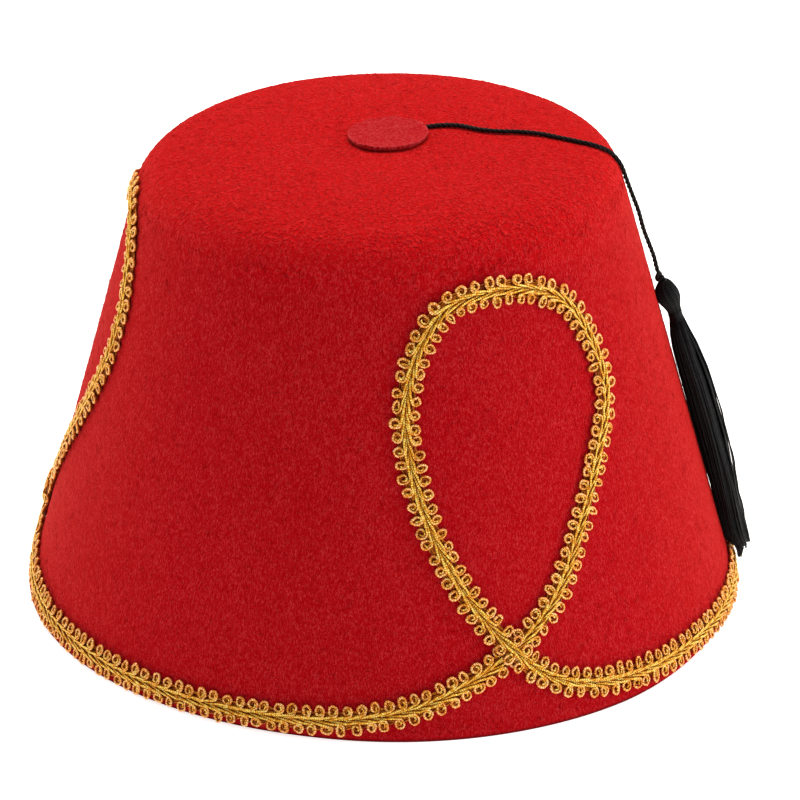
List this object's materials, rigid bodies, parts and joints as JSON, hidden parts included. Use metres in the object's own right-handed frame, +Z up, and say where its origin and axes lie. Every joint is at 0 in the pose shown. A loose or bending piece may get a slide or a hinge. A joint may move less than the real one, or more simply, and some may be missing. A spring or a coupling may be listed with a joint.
{
  "type": "fez hat",
  "caption": "Flared felt hat with a flat top, open below, trimmed with a looped gimp braid and a tassel on a cord from a felt button on top.",
  "frame": {"origin": "middle of the open rim, in the plane that the rim rests on", "axes": "+Z up along the hat's axis, -Y towards the foot of the front loop, +X to the side that the tassel hangs on"},
  "size_m": [0.1973, 0.1964, 0.1324],
  "materials": {
    "red_felt": "pressed red felt, matt, with a short nap",
    "gold_braid": "woven metallic gold yarn, glossy",
    "button_felt": "thin rose red felt, matt",
    "black_cord": "twisted black rayon cord, slight sheen",
    "tassel_thread": "fine black rayon strands, soft sheen"
  },
  "bodies": {
    "root": {"crown": "red_felt", "braid": "gold_braid", "button": "button_felt", "cord": "black_cord", "cord_knot": "black_cord", "tassel": "tassel_thread"}
  },
  "joints": []
}
